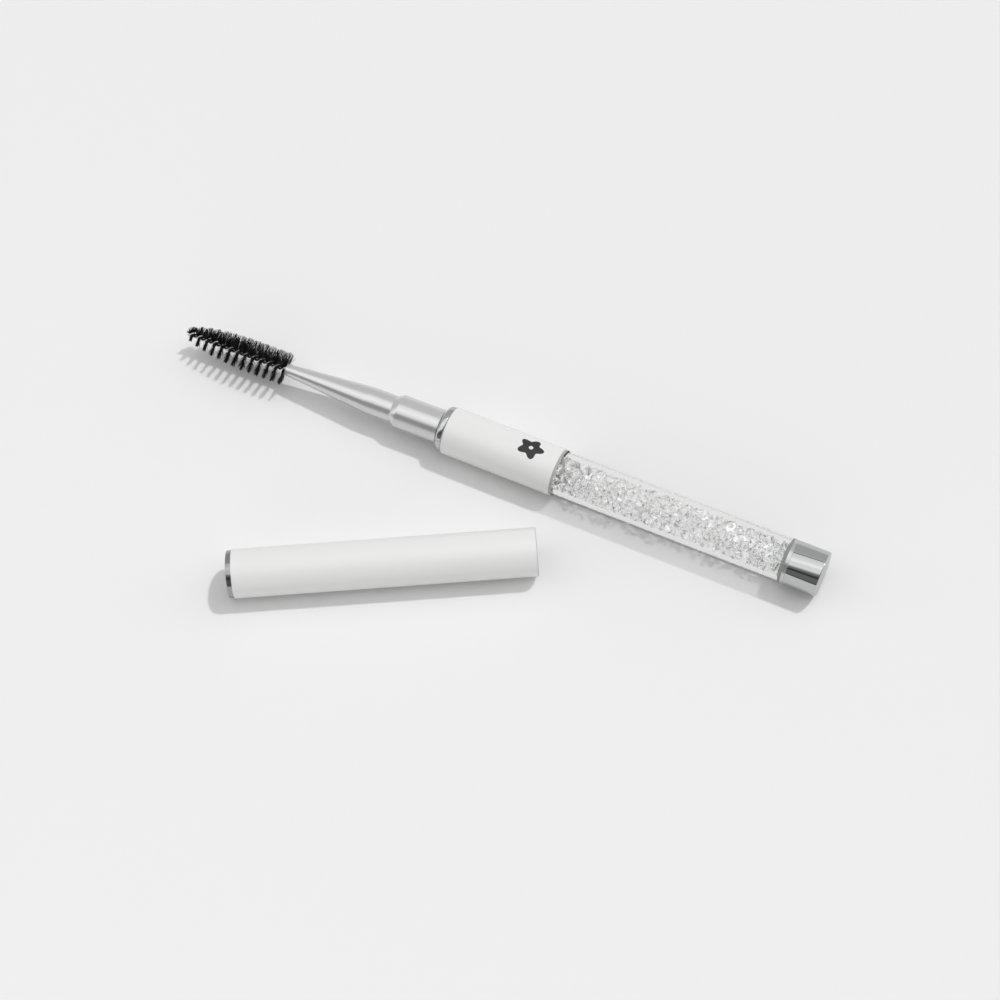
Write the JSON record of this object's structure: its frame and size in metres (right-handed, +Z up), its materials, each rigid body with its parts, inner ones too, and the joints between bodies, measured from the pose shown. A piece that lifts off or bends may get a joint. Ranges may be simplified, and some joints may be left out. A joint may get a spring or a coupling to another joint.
{
  "type": "eyebrow brush",
  "caption": "Eyebrow brush with a twisted-wire bristle head, chrome ferrule, white barrel and clear handle full of cut crystals, with its white chrome-ended cap lying beside it.",
  "frame": {"origin": "on the surface the brush and its cap lie on, below the middle of the box round both", "axes": "+X along the cap, from its closed end to its mouth; +Z up; the brush lies across, its bristles towards -X +Y and its end cap towards +X -Y"},
  "size_m": [0.1334, 0.077, 0.0105],
  "materials": {
    "bristle": "black nylon filament",
    "wire": "bright drawn wire",
    "ferrule": "mirror",
    "neck": "mirror",
    "ring": "mirror",
    "barrel": "white, glossy",
    "tube": "clear acrylic",
    "plug": "white",
    "crystal": "clear, cut",
    "end_plug": "silver grey",
    "end_cap": "mirror",
    "cap": "white, glossy",
    "cap_end": "mirror"
  },
  "bodies": {
    "root": {"bristles": "bristle", "wire_strand_a": "wire", "wire_strand_b": "wire", "ferrule": "ferrule", "neck_collar": "neck", "stop_ring": "ring", "barrel": "barrel", "clear_tube": "tube", "front_plug": "plug", "crystals": "crystal", "end_plug": "end_plug", "end_cap": "end_cap", "cap_tube": "cap", "cap_end": "cap_end"}
  },
  "joints": []
}
